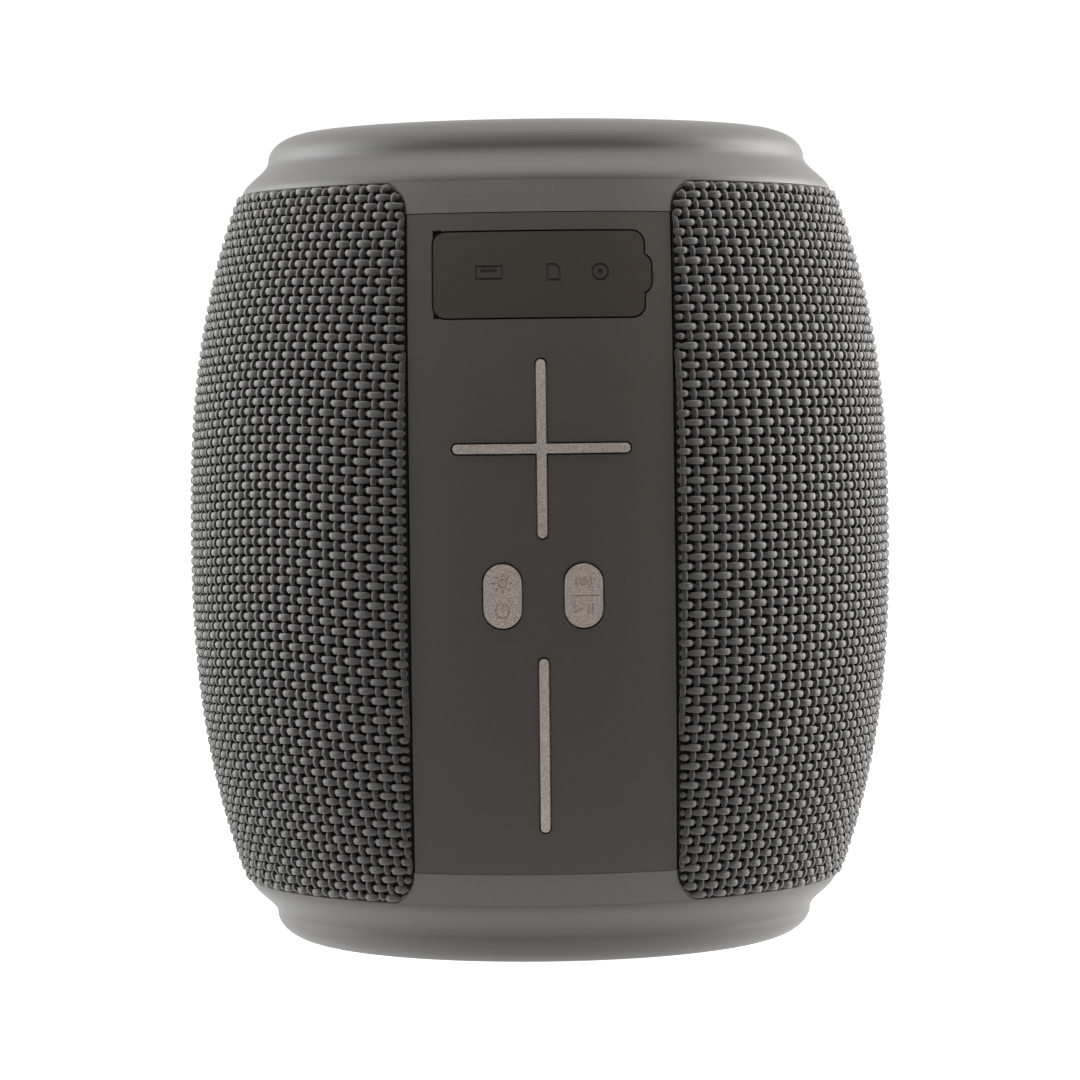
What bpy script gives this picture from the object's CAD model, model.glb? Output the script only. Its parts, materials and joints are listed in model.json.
import json
import math

import bmesh
import bpy
import numpy as np
from mathutils import Matrix, Vector


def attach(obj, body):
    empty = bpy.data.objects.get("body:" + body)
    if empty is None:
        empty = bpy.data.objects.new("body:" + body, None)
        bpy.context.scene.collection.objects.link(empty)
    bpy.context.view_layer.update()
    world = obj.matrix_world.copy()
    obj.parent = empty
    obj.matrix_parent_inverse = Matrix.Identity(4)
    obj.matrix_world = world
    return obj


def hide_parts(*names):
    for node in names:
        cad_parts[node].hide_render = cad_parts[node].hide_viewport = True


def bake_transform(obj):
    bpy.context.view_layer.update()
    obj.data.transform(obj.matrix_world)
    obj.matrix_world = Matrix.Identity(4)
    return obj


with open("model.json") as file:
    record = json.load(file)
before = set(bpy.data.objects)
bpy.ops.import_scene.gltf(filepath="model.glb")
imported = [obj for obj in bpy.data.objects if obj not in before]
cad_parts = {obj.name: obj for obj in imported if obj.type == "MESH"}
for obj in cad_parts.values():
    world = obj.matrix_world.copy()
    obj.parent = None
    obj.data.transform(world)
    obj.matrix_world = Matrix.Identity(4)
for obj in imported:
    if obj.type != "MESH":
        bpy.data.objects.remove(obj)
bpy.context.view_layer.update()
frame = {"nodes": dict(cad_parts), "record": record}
MM = 0.001

# ---- the barrel, in millimetres, as the CAD has it ----
MID = 73.6
MAX_R = 64.0
BOW_K = 0.000361
BOW_N = 2.46
FAB_U = 62.3
WIN_HW = 23.25
CORNER_R = 5.0

# ---- the weave: sizes in millimetres, NO_WINDOW being farther than any edge ----
NO_WINDOW = 50.0
ROWS = 76
COLS = 139
CLOTH_DROP = 0.62
WEFT_SWING = 0.34
WARP_SWING = 0.28
WEFT_HALF = 0.64
WEFT_NECK = 0.30
WEFT_THICK = 0.40
WARP_HALF = 0.50
WARP_NECK = 0.30
WARP_THICK = 0.29
NECK_THICK = 0.20
BACK_DROP = 1.02
BACK_THICK = 0.10
EDGE_ROLL = 1.4
EDGE_DEPTH = 0.40
EDGE_GAP = 0.3
EDGE_BEAD = 0.9
STEPS = 7
ROUND = 8
WEFT_HARD = 1.5
WARP_HARD = 1.3
WEFT_REACH = 0.64
WARP_REACH = 0.70
WEFT_WANDER = 0.035
WARP_WANDER = 0.05
WEFT_STRAY = 0.03
WARP_STRAY = 0.04
EDGE_CALM = 0.6
EDGE_TRIM = 0.12
SHORTEST = 10
TIP = (0.4, 0.86)
OVAL = 0.85
BOW = 1.4
BOW_AT = 0.85
BOW_WIDTH = 0.36
TONES = (0.10, 0.32)
FIBRE_SHIFT = 50
WEFTS_A_PIECE = 12
WARPS_A_PIECE = 22
SHEET_COLS = 240
SHEET_ROWS = 84
SHEET_INSET = 0.1


def barrel_r(u):
    return MAX_R - BOW_K * np.abs(u) ** BOW_N


# ---- camera ----
EYE = Vector((-0.0056, -0.8, 0.0980))
TARGET = Vector((0.0, 0.0, 0.0725))
ROLL = math.radians(-0.66)
LENS = 145.0


def make_camera():
    data = bpy.data.cameras.new("camera")
    data.sensor_width = 36.0
    data.lens = LENS
    data.clip_end = 20.0
    data.clip_start = 0.05
    cam = bpy.data.objects.new("camera", data)
    bpy.context.collection.objects.link(cam)
    roll = Matrix.Rotation(ROLL, 4, "Z")
    look = (TARGET - EYE).to_track_quat("-Z", "Y").to_matrix().to_4x4()
    cam.matrix_world = Matrix.Translation(EYE) @ look @ roll
    bpy.context.scene.camera = cam


# ---- materials ----
def base(name, colour, rough, metal=0.0, spec=0.5, sheen=0.0, coat=0.0):
    m = bpy.data.materials.new(name)
    m.use_nodes = True
    t = m.node_tree
    b = t.nodes["Principled BSDF"]
    b.inputs["Base Color"].default_value = (*colour, 1.0)
    b.inputs["Roughness"].default_value = rough
    b.inputs["Metallic"].default_value = metal
    b.inputs["Specular IOR Level"].default_value = spec
    b.inputs["Sheen Weight"].default_value = sheen
    b.inputs["Sheen Roughness"].default_value = 0.5
    b.inputs["Coat Weight"].default_value = coat
    return m, t, b


def grain(t, b, colour, scale, amount, bump, depth, rough=None, stretch=(1, 1, 1)):
    """Fine grain: a small change of colour and of height, in object space."""
    co = t.nodes.new("ShaderNodeTexCoord")
    mp = t.nodes.new("ShaderNodeMapping")
    mp.inputs["Scale"].default_value = stretch
    t.links.new(co.outputs["Object"], mp.inputs["Vector"])
    n = t.nodes.new("ShaderNodeTexNoise")
    n.inputs["Scale"].default_value = scale
    n.inputs["Detail"].default_value = 3.0
    t.links.new(mp.outputs["Vector"], n.inputs["Vector"])
    ramp = t.nodes.new("ShaderNodeValToRGB")
    ramp.color_ramp.elements[0].position = 0.3
    ramp.color_ramp.elements[1].position = 0.7
    ramp.color_ramp.elements[0].color = (*[c * (1 - amount) for c in colour], 1)
    ramp.color_ramp.elements[1].color = (*[min(1, c * (1 + amount)) for c in colour], 1)
    t.links.new(n.outputs["Fac"], ramp.inputs["Fac"])
    t.links.new(ramp.outputs["Color"], b.inputs["Base Color"])
    if rough:
        r = t.nodes.new("ShaderNodeMapRange")
        r.inputs["To Min"].default_value = rough[0]
        r.inputs["To Max"].default_value = rough[1]
        t.links.new(n.outputs["Fac"], r.inputs["Value"])
        t.links.new(r.outputs["Result"], b.inputs["Roughness"])
    bp = t.nodes.new("ShaderNodeBump")
    bp.inputs["Strength"].default_value = bump
    bp.inputs["Distance"].default_value = depth
    t.links.new(n.outputs["Fac"], bp.inputs["Height"])
    t.links.new(bp.outputs["Normal"], b.inputs["Normal"])


def grained(name, colour, rough, scale=900, amount=0.08, bump=0.25, depth=0.00003, stretch=(1, 1, 1), **kw):
    m, t, b = base(name, colour, rough, **kw)
    grain(t, b, colour, scale, amount, bump, depth, (rough - 0.05, min(1.0, rough + 0.05)), stretch)
    return m


MATERIALS = {
    "soft_touch": grained(
        "soft_touch", (0.056, 0.052, 0.046), 0.56, 1500, 0.06, 0.25, 0.00002, sheen=0.08, spec=0.35
    ),
    "strip_soft_touch": grained(
        "strip_soft_touch", (0.0375, 0.0325, 0.0280), 0.62, 1500, 0.06, 0.25, 0.00002, spec=0.22
    ),
    "black_plastic": grained("black_plastic", (0.015, 0.015, 0.015), 0.5, 1200, 0.15),
    "key_satin": grained("key_satin", (0.235, 0.200, 0.172), 0.42, 3200, 0.34, 0.6, 0.00003, metal=0.25),
    "silicone": grained("silicone", (0.0235, 0.0182, 0.0140), 0.62, 1300, 0.06, 0.2, 0.00002, spec=0.2),
    "clear_silicone": grained("clear_silicone", (0.32, 0.32, 0.33), 0.6, 600),
    "green_board": grained("green_board", (0.012, 0.09, 0.035), 0.35, 300, 0.25, 0.3, 0.00002, coat=0.3),
    "white_board": grained("white_board", (0.75, 0.75, 0.72), 0.4, 300, 0.04),
    "plated_steel": grained("plated_steel", (0.58, 0.58, 0.60), 0.3, 1500, 0.06, metal=1.0),
    "black_steel": grained("black_steel", (0.03, 0.03, 0.032), 0.4, 1500, 0.2, metal=0.6),
    "tin_plate": grained("tin_plate", (0.62, 0.62, 0.63), 0.28, 800, 0.05, metal=1.0, stretch=(1, 6, 1)),
    "aluminium_fins": grained(
        "aluminium_fins", (0.62, 0.63, 0.65), 0.35, 900, 0.06, metal=1.0, stretch=(1, 1, 8)
    ),
    "sleeve_blue": grained("sleeve_blue", (0.02, 0.09, 0.30), 0.25, 200, 0.1, 0.15, coat=0.4),
    "sleeve_dark": grained("sleeve_dark", (0.02, 0.025, 0.06), 0.3, 400, 0.1, 0.15, coat=0.3),
    "ferrite": grained("ferrite", (0.04, 0.04, 0.042), 0.55, 900, 0.2),
    "white_plastic": grained("white_plastic", (0.82, 0.82, 0.79), 0.4, 500, 0.03),
    "ribbon_plastic": grained("ribbon_plastic", (0.72, 0.70, 0.64), 0.3, 400, 0.06),
    "foam": grained("foam", (0.03, 0.03, 0.03), 0.95, 1800, 0.4, 0.8, 0.0001),
    "red_wire": grained("red_wire", (0.35, 0.015, 0.015), 0.4, 600, 0.08),
    "black_wire": grained("black_wire", (0.015, 0.015, 0.015), 0.4, 600, 0.2),
    "paper_cone": grained("paper_cone", (0.025, 0.025, 0.026), 0.7, 1500, 0.3, 0.6, 0.00006),
    "copper_coil": grained(
        "copper_coil", (0.55, 0.22, 0.08), 0.3, 300, 0.2, 0.6, 0.00005, metal=1.0, stretch=(1, 12, 1)
    ),
    "magnet_steel": grained("magnet_steel", (0.09, 0.09, 0.095), 0.5, 900, 0.2, metal=0.5),
    "surround_rubber": grained("surround_rubber", (0.018, 0.018, 0.018), 0.55, 1500, 0.15, sheen=0.1),
    "disc_plastic": grained("disc_plastic", (0.045, 0.043, 0.041), 0.42, 1500, 0.08),
    "steel_weight": grained("steel_weight", (0.5, 0.5, 0.51), 0.3, 900, 0.06, metal=1.0),
    "frosted": grained("frosted", (0.50, 0.495, 0.475), 0.45, 1500, 0.03),
    "led_yellow": grained("led_yellow", (0.88, 0.80, 0.42), 0.2, 900, 0.05, coat=0.5),
}


def yarn_material(name, dark, light, rough):
    """Twisted yarn: thin fibre lines that slant along the yarn, and a tone of its own for each yarn."""
    m, t, b = base(name, light, rough, spec=0.32, sheen=0.24)
    uv = t.nodes.new("ShaderNodeUVMap")
    uv.uv_map = "fibre"
    mp = t.nodes.new("ShaderNodeMapping")
    mp.inputs["Scale"].default_value = (1.3, 9.0, 1.0)
    mp.inputs["Rotation"].default_value = (0, 0, 0.12)
    t.links.new(uv.outputs["UV"], mp.inputs["Vector"])
    fibre = t.nodes.new("ShaderNodeTexNoise")
    fibre.inputs["Scale"].default_value = 1.0
    fibre.inputs["Detail"].default_value = 2.0
    t.links.new(mp.outputs["Vector"], fibre.inputs["Vector"])
    tone = t.nodes.new("ShaderNodeAttribute")
    tone.attribute_name = "tone"
    add = t.nodes.new("ShaderNodeMath")
    add.operation = "MULTIPLY_ADD"
    add.inputs[1].default_value = 0.6
    t.links.new(fibre.outputs["Fac"], add.inputs[0])
    t.links.new(tone.outputs["Fac"], add.inputs[2])
    ramp = t.nodes.new("ShaderNodeValToRGB")
    ramp.color_ramp.elements[0].color = (*dark, 1)
    ramp.color_ramp.elements[1].color = (*light, 1)
    t.links.new(add.outputs["Value"], ramp.inputs["Fac"])
    t.links.new(ramp.outputs["Color"], b.inputs["Base Color"])
    bp = t.nodes.new("ShaderNodeBump")
    bp.inputs["Strength"].default_value = 0.5
    bp.inputs["Distance"].default_value = 0.00008
    t.links.new(fibre.outputs["Fac"], bp.inputs["Height"])
    t.links.new(bp.outputs["Normal"], b.inputs["Normal"])
    return m


WEFT_MAT = yarn_material("weft_yarn", (0.0222, 0.0188, 0.0158), (0.0600, 0.0525, 0.0455), 0.60)
WARP_MAT = yarn_material("warp_yarn", (0.007, 0.0062, 0.0056), (0.0165, 0.0148, 0.0134), 0.60)
BACK_MAT = grained("cloth_backing", (0.006, 0.006, 0.006), 0.9, 1500, 0.3, 0.4, 0.0001, spec=0.05)


def dress_cad():
    slots = {s["node"]: s["material_slot"] for s in frame["record"]["subparts"]}
    for name, obj in frame["nodes"].items():
        mat = MATERIALS.get(slots[name])
        if mat is None:
            continue
        obj.data.materials.clear()
        obj.data.materials.append(mat)


# ---- the woven cloth ----
def edge_distance(x, u, front, gap=0.0):
    """How far inside the cloth's edge a point is; x is its place across the front, u its height."""
    top = FAB_U - np.abs(u)
    side = np.where(front, np.abs(x) - WIN_HW - gap, NO_WINDOW)
    cx, cy = CORNER_R - side, CORNER_R - top
    rounded = CORNER_R - np.hypot(np.maximum(cx, 0), np.maximum(cy, 0))
    inside = np.minimum(side, top)
    return np.where((cx > 0) & (cy > 0), rounded, inside)


def drop_at(d):
    """How far the cloth has turned inwards at a distance d from its edge."""
    q = np.clip((EDGE_ROLL - d) / EDGE_ROLL, 0, 1)
    return EDGE_DEPTH * (1 - np.sqrt(np.maximum(0, 1 - q * q)))


def window_reach(u0, gap):
    """Half the width of the opening for the strip at height u0, which grows towards its rounded corners."""
    top = FAB_U - abs(u0)
    if top >= CORNER_R:
        return WIN_HW + gap
    return WIN_HW + gap + CORNER_R - math.sqrt(CORNER_R**2 - (CORNER_R - top) ** 2)


def crest(c, hard):
    return np.tanh(hard * c) / math.tanh(hard)


def tube(points, side, out, half, thick):
    """Points of an oval tube: side is the direction across the yarn, out is away from the axis."""
    taper = np.ones(len(points))
    taper[[0, -1]] = TIP[0]
    taper[[1, -2]] = TIP[1]
    half = half * taper
    thick = thick * taper
    a = np.linspace(0, 2 * math.pi, ROUND, endpoint=False) + math.pi / ROUND
    c = np.sign(np.cos(a)) * np.abs(np.cos(a)) ** OVAL
    s = np.sign(np.sin(a)) * np.abs(np.sin(a)) ** OVAL
    return (
        points[:, None, :]
        + side[:, None, :] * (half[:, None] * c[None, :])[:, :, None]
        + out[:, None, :] * (thick[:, None] * s[None, :])[:, :, None]
    )


def surface(phi, u, drop):
    """A point on the barrel; phi is the angle from the middle of the back, positive towards +X."""
    r = barrel_r(u) - drop
    return np.stack([r * np.sin(phi), r * np.cos(phi), u + MID], axis=1)


COL_STEP = 2 * (math.pi - math.asin(WIN_HW / MAX_R)) / COLS
ROW_STEP = 2 * FAB_U / ROWS


def swell(away, reach):
    """1 on top of a crossing, falling to 0 where the yarn dives; away is counted in crossings."""
    q = np.clip(away / reach, 0, 1)
    return (1 - q**3) ** 0.6


def from_crest(t, odd):
    """Distance to the nearest place where the yarn is on top, which is every second crossing."""
    return np.abs((t + odd + 1) % 2 - 1)


def edge_bead(d):
    """The turned-in ends of the yarns are as wide as their crests."""
    return np.clip((EDGE_BEAD - d) / (0.5 * EDGE_BEAD), 0, 1)


def calm(d):
    """The yarns swing less where the cloth turns in at its edge."""
    return 1 - EDGE_CALM * np.clip(1 - d / EDGE_ROLL, 0, 1)


def bow_at(phi, u0):
    """The wefts rise in a low hump across the left side, where the cloth was pulled tight."""
    from_front = np.pi - np.abs(phi)
    hump = np.where(phi < 0, np.exp(-(((from_front - BOW_AT) / BOW_WIDTH) ** 2)), 0.0)
    return BOW * hump * (1 - (u0 / FAB_U) ** 2)


def weft(i, rng):
    u0 = -FAB_U + ROW_STEP * (i + 0.5)
    r = float(barrel_r(u0))
    end = math.pi - math.asin(window_reach(u0, EDGE_GAP) / r)
    n = int(2 * end / COL_STEP * STEPS) + 1
    phi = np.linspace(-end, end, n)
    t = phi / COL_STEP
    over = crest(np.cos(math.pi * (t + i)), WEFT_HARD)
    d = edge_distance(r * np.sin(phi), np.full(n, u0), np.cos(phi) < 0, EDGE_GAP)
    full = np.maximum(swell(from_crest(t, i), WEFT_REACH), edge_bead(d))
    wander = WEFT_WANDER * np.sin(t * 0.9 + i * 1.7)
    u = u0 + bow_at(phi, u0) + wander + rng.uniform(-WEFT_STRAY, WEFT_STRAY)
    swing = WEFT_SWING * calm(d)
    p = surface(phi, u, CLOTH_DROP - swing * over + drop_at(d))
    out = np.stack([np.sin(phi), np.cos(phi), np.zeros(n)], axis=1)
    side = np.tile([0.0, 0.0, 1.0], (n, 1))
    size = 1 + 0.05 * np.sin(t * 0.37 + i * 2.1)
    half = (WEFT_NECK + (WEFT_HALF - WEFT_NECK) * full) * size
    thick = NECK_THICK + (WEFT_THICK - NECK_THICK) * full
    return tube(p, side, out, half, thick), t


def warp(j, rng):
    phi0 = (j - (COLS - 1) / 2) * COL_STEP
    n = ROWS * STEPS + 1
    u = np.linspace(-FAB_U, FAB_U, n)
    r = barrel_r(u)
    d = edge_distance(r * math.sin(phi0), u, np.full(n, math.cos(phi0) < 0), EDGE_GAP)
    keep = d > EDGE_TRIM
    u, r, d = u[keep], r[keep], d[keep]
    n = len(u)
    if n < SHORTEST:
        return None
    odd = (j - (COLS - 1) // 2) % 2 + 1
    s = (u + FAB_U - bow_at(np.full(n, phi0), u)) / ROW_STEP - 0.5
    over = crest(np.cos(math.pi * (s + odd)), WARP_HARD)
    full = np.maximum(swell(from_crest(s, odd), WARP_REACH), edge_bead(d))
    wander = WARP_WANDER * np.sin(s * 0.8 + j * 1.3)
    phi = phi0 + (wander + rng.uniform(-WARP_STRAY, WARP_STRAY)) / r
    swing = WARP_SWING * calm(d)
    p = surface(phi, u, CLOTH_DROP - swing * over + drop_at(d))
    out = np.stack([np.sin(phi), np.cos(phi), np.zeros(n)], axis=1)
    side = np.stack([np.cos(phi), -np.sin(phi), np.zeros(n)], axis=1)
    size = (1 + 0.06 * np.sin(s * 0.41 + j * 2.7)) * (r / MAX_R) ** 0.5
    half = (WARP_NECK + (WARP_HALF - WARP_NECK) * full) * size
    thick = NECK_THICK + (WARP_THICK - NECK_THICK) * full
    return tube(p, side, out, half, thick), s


LID = np.array([(0, 1, 2, 3), (0, 3, 4, 7), (4, 5, 6, 7)])


def yarn_faces(n, at):
    """Faces of one yarn of n rings whose first point has the number at, closed at both ends."""
    k = np.arange(ROUND)
    ring = np.arange(n - 1)[:, None] * ROUND
    a = (ring + k).reshape(-1)
    b = (ring + (k + 1) % ROUND).reshape(-1)
    quad = np.stack([a, b, b + ROUND, a + ROUND], axis=1) + at
    last = at + (n - 1) * ROUND
    return np.concatenate([quad, LID[:, ::-1] + at, LID + last])


def yarn_map(along):
    """Corners of the yarn's sides: how far along the yarn, and how far round it."""
    n = len(along)
    k = np.arange(ROUND)
    v0 = np.tile(k / ROUND, n - 1)
    v1 = np.tile((k + 1) / ROUND, n - 1)
    u0 = np.repeat(along[:-1], ROUND)
    u1 = np.repeat(along[1:], ROUND)
    return np.stack([u0, v0, u0, v1, u1, v1, u1, v0], axis=1).reshape(-1, 2)


def fibre_map(along, shift):
    sides = yarn_map(along + shift)
    lids = np.tile([[along[0] + shift, 0.0]], (8 * len(LID), 1))
    return np.concatenate([sides, lids])


def strip_map(along, number, count):
    """The same corners, laid out so that each yarn has a strip of the square to itself."""
    sides = yarn_map((along - along[0]) / (along[-1] - along[0]))
    sides[:, 1] = (number + 0.05 + 0.9 * sides[:, 1]) / count
    middle = (number + 0.5) / count
    lids = [np.tile([[end, middle]], (4 * len(LID), 1)) for end in (0.0, 1.0)]
    return np.concatenate([sides, *lids])


def quad_mesh(name, points, faces):
    mesh = bpy.data.meshes.new(name)
    mesh.vertices.add(len(points))
    mesh.vertices.foreach_set("co", points.astype(np.float32).ravel())
    mesh.loops.add(len(faces) * 4)
    mesh.loops.foreach_set("vertex_index", faces.astype(np.int32).ravel())
    mesh.polygons.add(len(faces))
    mesh.polygons.foreach_set("loop_start", (np.arange(len(faces)) * 4).astype(np.int32))
    mesh.update(calc_edges=True)
    mesh.validate()
    mesh.polygons.foreach_set("use_smooth", np.ones(len(faces), bool))
    return mesh


def add_map(mesh, name, corners):
    layer = mesh.uv_layers.new(name=name)
    layer.data.foreach_set("uv", np.concatenate(corners).astype(np.float32).ravel())


def link(name, mesh):
    obj = bpy.data.objects.new(name, mesh)
    bpy.context.collection.objects.link(obj)
    return obj


def yarn_mesh(name, yarns, material, rng):
    """One mesh of many yarns, each closed at its ends, with the fibre map and a tone for each yarn."""
    points, faces, fibre, strips, tones = [], [], [], [], []
    at = 0
    for number, (rings, along) in enumerate(yarns):
        points.append(rings.reshape(-1, 3))
        faces.append(yarn_faces(len(rings), at))
        fibre.append(fibre_map(along, rng.uniform(0, FIBRE_SHIFT)))
        strips.append(strip_map(along, number, len(yarns)))
        tones.append(np.full(len(rings) * ROUND, rng.uniform(*TONES)))
        at += len(rings) * ROUND
    mesh = quad_mesh(name, np.concatenate(points) * MM, np.concatenate(faces))
    add_map(mesh, "fibre", fibre)
    add_map(mesh, "OFBake", strips)
    tone = mesh.attributes.new("tone", "FLOAT", "POINT")
    tone.data.foreach_set("value", np.concatenate(tones).astype(np.float32))
    mesh.materials.append(material)
    return link(name, mesh)


def cloth_sheet():
    """The cloth itself, a thin closed sheet behind the yarns that stops at the same rounded window."""
    grid = []
    for side in (0, 1):
        for u0 in np.linspace(-FAB_U + SHEET_INSET, FAB_U - SHEET_INSET, SHEET_ROWS):
            end = math.pi - math.asin(window_reach(u0, 0.0) / float(barrel_r(u0)))
            phi = np.linspace(-end, end, SHEET_COLS)
            grid.append(surface(phi, np.full(SHEET_COLS, u0), BACK_DROP + BACK_THICK * side))
    count = SHEET_ROWS * SHEET_COLS
    at = np.arange(count).reshape(SHEET_ROWS, SHEET_COLS)
    outer = np.stack([at[:-1, :-1], at[:-1, 1:], at[1:, 1:], at[1:, :-1]], axis=-1).reshape(-1, 4)
    inner = outer[:, ::-1] + count
    rim = np.concatenate([at[0, :], at[1:, -1], at[-1, -2::-1], at[-2:0:-1, 0]])
    following = np.roll(rim, -1)
    wall = np.stack([following, rim, rim + count, following + count], axis=1)
    faces = np.concatenate([outer, inner, wall])
    mesh = bpy.data.meshes.new("woven_cloth")
    mesh.from_pydata((np.concatenate(grid) * MM).tolist(), [], faces.tolist())
    mesh.polygons.foreach_set("use_smooth", np.ones(len(faces), bool))
    mesh.materials.append(BACK_MAT)
    mesh.update()
    return link("woven_cloth", mesh)


def yarn_groups(kind, make, count, per, material, rng):
    """The yarns of one direction, in pieces of at most per yarns."""
    groups = []
    for g in range(0, count, per):
        yarns = [make(i, rng) for i in range(g, min(count, g + per))]
        yarns = [y for y in yarns if y is not None]
        groups.append(yarn_mesh(f"{kind}_{g // per + 1}", yarns, material, rng))
    return groups


def make_cloth():
    rng = np.random.default_rng(7)
    groups = yarn_groups("weft", weft, ROWS, WEFTS_A_PIECE, WEFT_MAT, rng)
    groups += yarn_groups("warp", warp, COLS, WARPS_A_PIECE, WARP_MAT, rng)
    sheet = cloth_sheet()
    for o in (sheet, *groups):
        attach(o, "housing")
    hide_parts("fabric_cover")


# ---- rubber surrounds, in sectors that bend between the frame and the moving piece ----
SECTORS = 12
ARC_STEPS = 8
ROLL_STEPS = 14
SHARP_ANGLE = math.radians(40)
RADIATOR_OUT = 56.5
DRIVER_Y = 38.0
DRIVER_OUT = 26.8


def surround_profile(roll_r, roll, skin, outer, inner, base_v):
    """The closed outline of a half-roll surround, as radius against height."""
    a = np.linspace(0, math.pi, ROLL_STEPS)
    top = [(roll_r + roll * math.cos(x), base_v + roll * math.sin(x)) for x in a]
    hollow = roll - skin
    under = [(roll_r + hollow * math.cos(x), base_v + hollow * math.sin(x)) for x in a[::-1]]
    lip_out = [(outer, base_v), (outer, base_v + skin), (roll_r + roll, base_v + skin)]
    lip_in = [(roll_r - roll, base_v + skin), (inner, base_v + skin), (inner, base_v)]
    return lip_out + top[2:-2] + lip_in + under


def sector_mesh(name, place, profile, middle, span):
    n = len(profile)
    angles = middle + np.linspace(-span / 2, span / 2, ARC_STEPS + 1)
    points = [Vector((r * math.cos(a), r * math.sin(a), v)) for a in angles for r, v in profile]
    faces = [tuple(range(n)), tuple(range(ARC_STEPS * n + n - 1, ARC_STEPS * n - 1, -1))]
    for i in range(ARC_STEPS):
        for q in range(n):
            w = (q + 1) % n
            faces.append((i * n + q, (i + 1) * n + q, (i + 1) * n + w, i * n + w))
    mesh = bpy.data.meshes.new(name)
    mesh.from_pydata([tuple(place @ p * MM) for p in points], [], faces)
    smooth = [False, False] + [True] * (len(faces) - 2)
    mesh.polygons.foreach_set("use_smooth", smooth)
    turn_outwards(mesh)
    mesh.materials.append(MATERIALS["surround_rubber"])
    return mesh


def turn_outwards(mesh):
    work = bmesh.new()
    work.from_mesh(mesh)
    bmesh.ops.recalc_face_normals(work, faces=work.faces)
    work.to_mesh(mesh)
    work.free()
    mesh.update()
    mesh.set_sharp_from_angle(angle=SHARP_ANGLE)


def make_surround(name, place, profile):
    span = 2 * math.pi / SECTORS
    for k in range(SECTORS):
        middle = span * (k + 0.5)
        mesh = sector_mesh(f"{name}_{k + 1}", place, profile, middle, span)
        obj = link(mesh.name, mesh)
        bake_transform(obj)
        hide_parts(name)


def make_surrounds():
    large = surround_profile(roll_r=25.2, roll=3.6, skin=0.7, outer=31.5, inner=18.4, base_v=3.0)
    small = surround_profile(roll_r=18.3, roll=1.75, skin=0.5, outer=21.3, inner=15.1, base_v=0.5)
    for end, s in (("top", 1), ("bottom", -1)):
        place = Matrix.Translation((0, 0, MID + s * RADIATOR_OUT)) @ Matrix.Diagonal((1, 1, s, 1))
        make_surround(f"{end}_radiator_surround", place, large)
    for end, s in (("upper", 1), ("lower", -1)):
        turned = Matrix.Rotation(-math.pi / 2, 4, "X")
        place = Matrix.Translation((0, DRIVER_Y, MID + s * DRIVER_OUT)) @ turned
        make_surround(f"{end}_surround", place, small)


# ---- rounded edges on the CAD pieces that show ----
def soften(name, width, segments=3, angle=35):
    obj = frame["nodes"][name]
    mod = obj.modifiers.new("edge", "BEVEL")
    mod.width = width * MM
    mod.segments = segments
    mod.limit_method = "ANGLE"
    mod.angle_limit = math.radians(angle)
    mod.harden_normals = True


def soften_cad():
    for key in ("plus_key", "minus_key", "light_key", "play_key"):
        soften(key, 0.22)
    soften("port_flap", 0.12)
    soften("control_panel", 0.3)
    for cap in ("bottom_cap", "top_cap"):
        soften(cap, 0.25, 2)


# ---- light and floor ----
def area_light(name, at, to, size, power, colour):
    data = bpy.data.lights.new(name, "AREA")
    data.shape = "RECTANGLE"
    data.size, data.size_y = size
    data.energy = power
    data.color = colour
    obj = link(name, data)
    obj.location = at
    obj.rotation_euler = (Vector(to) - Vector(at)).to_track_quat("-Z", "Y").to_euler()


# each ramp: two places, then the strengths there; FAR_GLOW runs along Y, FOOT_GLOW out from the axis
SKY = (-0.45, 0.35, 0.13, 1.1)
FAR_GLOW = (0.05, 0.5, 0.0, 1.0)
FOOT_GLOW = (0.058, 0.092, 1.2, 0.0)
FLOOR_TONE = 0.56
FLOOR_SIZE = 40


def mapped(t, value, ramp):
    """A value that runs from one number to another while the one given runs between two others."""
    node = t.nodes.new("ShaderNodeMapRange")
    for name, number in zip(("From Min", "From Max", "To Min", "To Max"), ramp):
        node.inputs[name].default_value = number
    t.links.new(value, node.inputs["Value"])
    return node.outputs["Result"]


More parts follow.
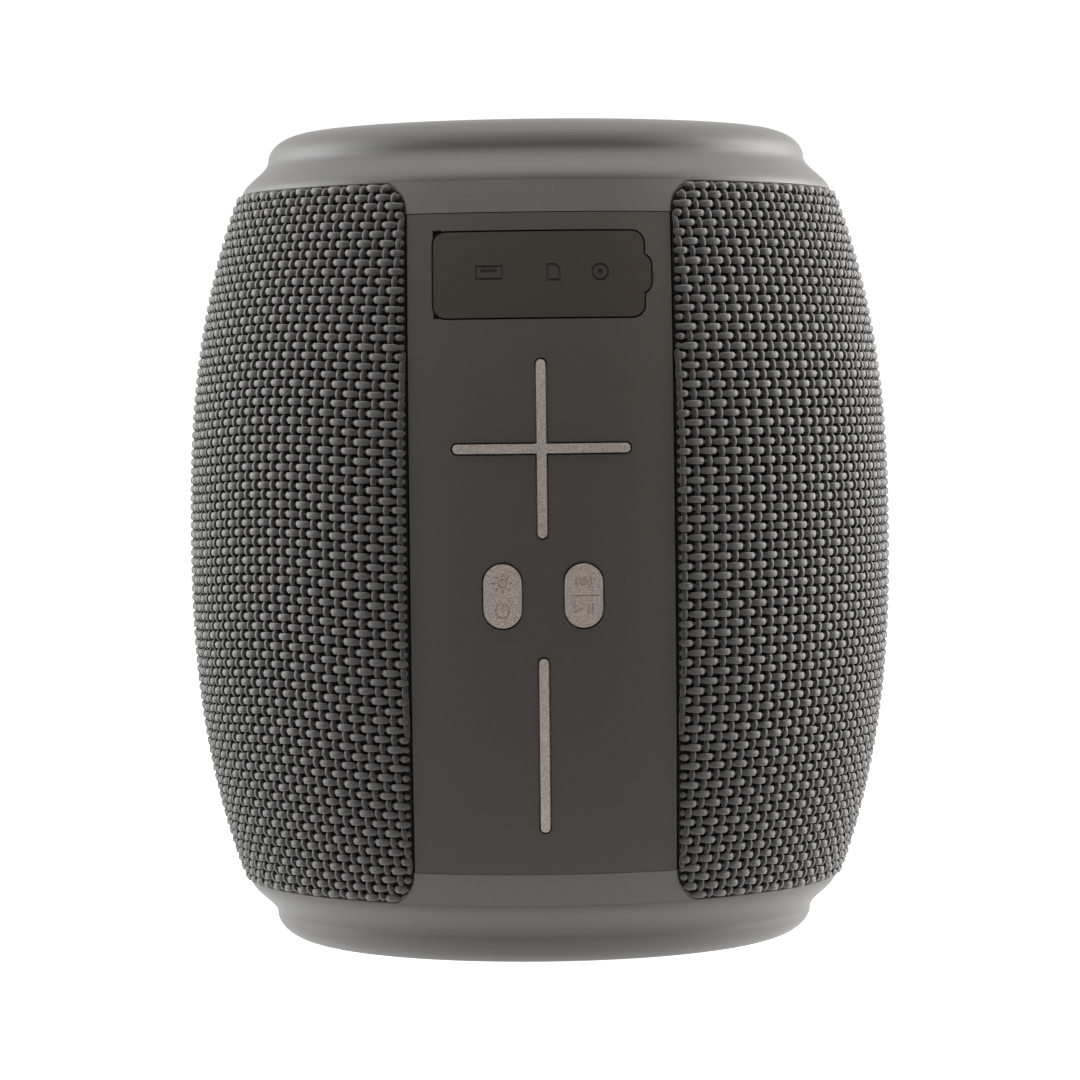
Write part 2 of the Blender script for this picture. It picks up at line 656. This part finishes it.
def make_world():
    """A plain sky that is brighter behind the object than in front of it."""
    world = bpy.data.worlds.new("studio")
    bpy.context.scene.world = world
    world.use_nodes = True
    t = world.node_tree
    bg = t.nodes["Background"]
    co = t.nodes.new("ShaderNodeTexCoord")
    sep = t.nodes.new("ShaderNodeSeparateXYZ")
    t.links.new(co.outputs["Generated"], sep.inputs["Vector"])
    t.links.new(mapped(t, sep.outputs["Y"], SKY), bg.inputs["Strength"])
    bg.inputs["Color"].default_value = (1, 1, 1, 1)


def make_floor():
    """A pale floor that also gives light of its own, far behind the object and close around its foot."""
    bpy.ops.mesh.primitive_plane_add(size=FLOOR_SIZE, location=(0, 0, 0))
    floor = bpy.context.object
    floor.name = "floor"
    colour = (FLOOR_TONE,) * 3
    m, t, b = base("floor_white", colour, 0.75, spec=0.2)
    b.inputs["Emission Color"].default_value = (1.0, 1.0, 1.0, 1.0)
    co = t.nodes.new("ShaderNodeTexCoord")
    sep = t.nodes.new("ShaderNodeSeparateXYZ")
    t.links.new(co.outputs["Object"], sep.inputs["Vector"])
    far = mapped(t, sep.outputs["Y"], FAR_GLOW)
    away = t.nodes.new("ShaderNodeVectorMath")
    away.operation = "LENGTH"
    t.links.new(co.outputs["Object"], away.inputs[0])
    near = mapped(t, away.outputs["Value"], FOOT_GLOW)
    both = t.nodes.new("ShaderNodeMath")
    t.links.new(far, both.inputs[0])
    t.links.new(near, both.inputs[1])
    t.links.new(both.outputs["Value"], b.inputs["Emission Strength"])
    grain(t, b, colour, 40, 0.01, 0.05, 0.0001)
    floor.data.materials.append(m)


MIDDLE = (0, 0, 0.075)
UPPER = (0, 0, 0.135)
LIGHTS = (
    ("left_box", (-0.75, 0.18, 0.22), MIDDLE, (0.5, 0.7), 14.5, (0.94, 0.98, 1.0)),
    ("right_box", (0.75, 0.20, 0.22), MIDDLE, (0.5, 0.7), 19.0, (1.0, 0.99, 0.975)),
    ("top_box", (0.0, -0.05, 0.85), MIDDLE, (0.7, 0.6), 6.0, (1.0, 1.0, 0.98)),
    ("front_box", (-0.05, -0.62, 0.50), UPPER, (0.3, 0.3), 1.75, (1.0, 1.0, 0.99)),
)


def make_lights():
    for light in LIGHTS:
        area_light(*light)


def main():
    make_camera()
    dress_cad()
    soften_cad()
    make_cloth()
    make_surrounds()
    make_world()
    make_floor()
    make_lights()
    bpy.context.scene.view_settings.view_transform = "Standard"


main()
